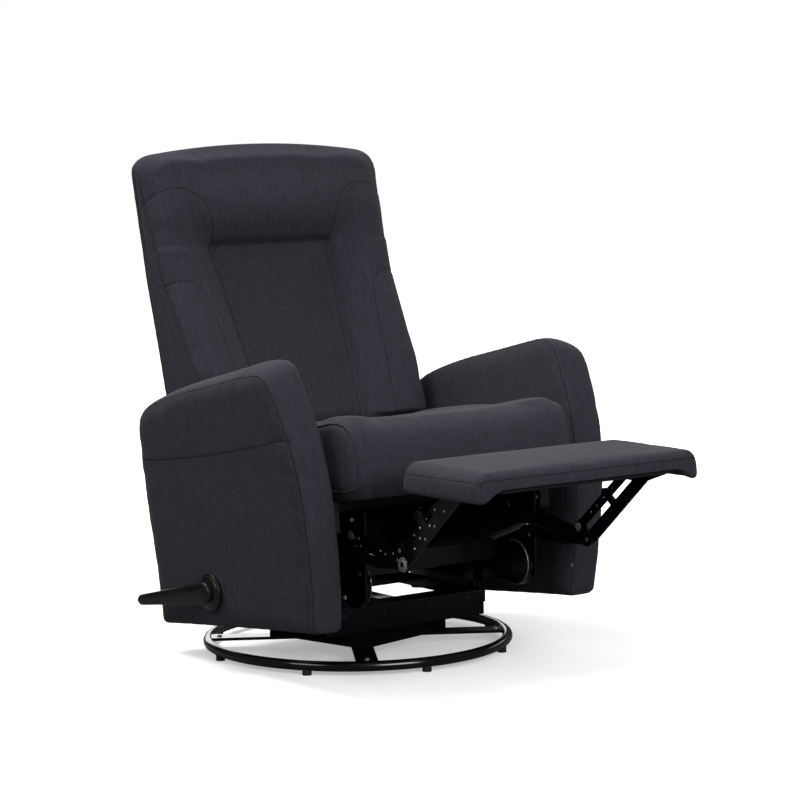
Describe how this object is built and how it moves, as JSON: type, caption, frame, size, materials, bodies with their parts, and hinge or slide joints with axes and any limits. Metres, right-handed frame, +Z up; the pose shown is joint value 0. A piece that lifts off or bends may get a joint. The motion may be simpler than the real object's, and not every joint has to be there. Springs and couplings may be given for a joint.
{
  "type": "swivel glider recliner",
  "caption": "Upholstered swivel glider recliner on a round floor ring, with a fold-out footrest, a side handle and a tilting back.",
  "frame": {"origin": "on the floor, under the middle of the chair's length and width with its footrest out", "axes": "-Y is the way the sitter faces, +X is the sitter's left, +Z is up"},
  "size_m": [0.7847, 1.096, 1.002],
  "materials": {
    "fabric_charcoal": "matte",
    "fabric_panel": "matte",
    "steel_black": "gloss",
    "steel_satin": "satin",
    "steel_zinc": "satin",
    "spring_steel": "satin",
    "wood_rail": "matte",
    "foot_rubber": "matte",
    "handle_plastic": "satin"
  },
  "bodies": {
    "base": {"ring": "steel_black", "feet": "foot_rubber", "cross_bars": "steel_black", "hub_pan": "steel_black", "race_lower": "steel_zinc", "race_balls": "steel_zinc", "king_bolt": "steel_zinc"},
    "turn_frame": {"race_upper": "steel_zinc", "turn_plate": "steel_black", "saddle_beams": "steel_black", "channel_front": "steel_satin", "channel_rear": "steel_satin", "apron": "steel_satin", "turn_sides": "steel_black", "link_posts": "steel_black"},
    "front_links": {"swing_links_front": "steel_satin"},
    "rear_links": {"swing_links_rear": "steel_satin"},
    "chassis": {"side_plate_right": "steel_black", "side_plate_left": "steel_black", "hangers": "steel_black", "cross_rail_front": "steel_satin", "cross_rail_rear": "steel_satin", "cam_discs": "steel_black", "pivot_studs": "steel_zinc", "seat_angles": "steel_black", "seat_side_right": "wood_rail", "seat_side_left": "wood_rail", "seat_front_rail": "wood_rail", "seat_rear_rail": "wood_rail", "seat_springs": "spring_steel", "seat_cushion": "fabric_charcoal", "arm_right": "fabric_charcoal", "arm_left": "fabric_charcoal", "arm_cleats": "wood_rail", "arm_screws": "steel_zinc", "back_hinges": "steel_black"},
    "lower_arm": {"lower_links": "steel_black", "link_pins": "steel_zinc"},
    "upper_arm": {"upper_links": "steel_black"},
    "guide": {"guide_links": "steel_satin"},
    "footrest": {"footrest_brackets": "steel_black", "footrest_board": "wood_rail", "footrest_pad": "fabric_charcoal", "footrest_rolls": "fabric_charcoal"},
    "drive": {"torque_tube": "steel_black", "cranks": "steel_black", "handle_shaft": "steel_zinc", "handle_hub": "handle_plastic", "handle_lever": "handle_plastic", "handle_screw": "steel_zinc"},
    "rods": {"drive_rods": "steel_satin"},
    "back": {"back_brackets": "steel_black", "back_posts": "wood_rail", "back_rails": "wood_rail", "back_springs": "spring_steel", "back_shell": "fabric_charcoal", "lumbar_panel": "fabric_panel", "bolster_right": "fabric_charcoal", "bolster_left": "fabric_charcoal", "head_pillow": "fabric_charcoal"}
  },
  "joints": [
    {"name": "swivel", "type": "hinge", "parent": "base", "child": "turn_frame", "pos_m": [0, 0.192, 0.0602], "axis": [0, 0, 1], "continuous": true},
    {"name": "glide", "type": "hinge", "parent": "turn_frame", "child": "front_links", "pos_m": [0, 0.072, 0.205], "axis": [1, 0, 0], "range_deg": [-22, 22]},
    {"name": "glide_rear", "type": "hinge", "parent": "turn_frame", "child": "rear_links", "pos_m": [0, 0.312, 0.205], "axis": [1, 0, 0], "range_deg": [-22, 22]},
    {"name": "glide_seat", "type": "hinge", "parent": "front_links", "child": "chassis", "pos_m": [0, 0.072, 0.105], "axis": [1, 0, 0], "range_deg": [-22, 22]},
    {"name": "footrest_fold", "type": "hinge", "parent": "chassis", "child": "lower_arm", "pos_m": [0, -0.098, 0.28], "axis": [1, 0, 0], "range_deg": [0, 158.3]},
    {"name": "elbow", "type": "hinge", "parent": "lower_arm", "child": "upper_arm", "pos_m": [0, -0.27, 0.247], "axis": [1, 0, 0], "range_deg": [-106.91, 0.01]},
    {"name": "footrest_tilt", "type": "hinge", "parent": "upper_arm", "child": "footrest", "pos_m": [0, -0.43, 0.388], "axis": [1, 0, 0], "range_deg": [-0.01, 38.61]},
    {"name": "guide_pivot", "type": "hinge", "parent": "lower_arm", "child": "guide", "pos_m": [0, -0.252, 0.27], "axis": [1, 0, 0], "range_deg": [-123.98, 0.01]},
    {"name": "handle", "type": "hinge", "parent": "chassis", "child": "drive", "pos_m": [0, 0.18, 0.15], "axis": [1, 0, 0], "range_deg": [-0.01, 100.01]},
    {"name": "rod_pivot", "type": "hinge", "parent": "drive", "child": "rods", "pos_m": [0, 0.15, 0.20196], "axis": [1, 0, 0], "range_deg": [-107.3, 0.01]},
    {"name": "recline", "type": "hinge", "parent": "chassis", "child": "back", "pos_m": [0, 0.397, 0.362], "axis": [-1, 0, 0], "range_deg": [0, 27]}
  ],
  "couplings": [
    {"joint": "glide_rear", "follows": "glide", "ratio": 1},
    {"joint": "glide_seat", "follows": "glide", "ratio": -1},
    {"joint": "elbow", "follows": "footrest_fold", "ratio": -0.67531},
    {"joint": "footrest_tilt", "follows": "footrest_fold", "ratio": 0.24383},
    {"joint": "guide_pivot", "follows": "footrest_fold", "ratio": -0.78314},
    {"joint": "handle", "follows": "footrest_fold", "ratio": 0.6317},
    {"joint": "rod_pivot", "follows": "footrest_fold", "ratio": -0.67774}
  ]
}
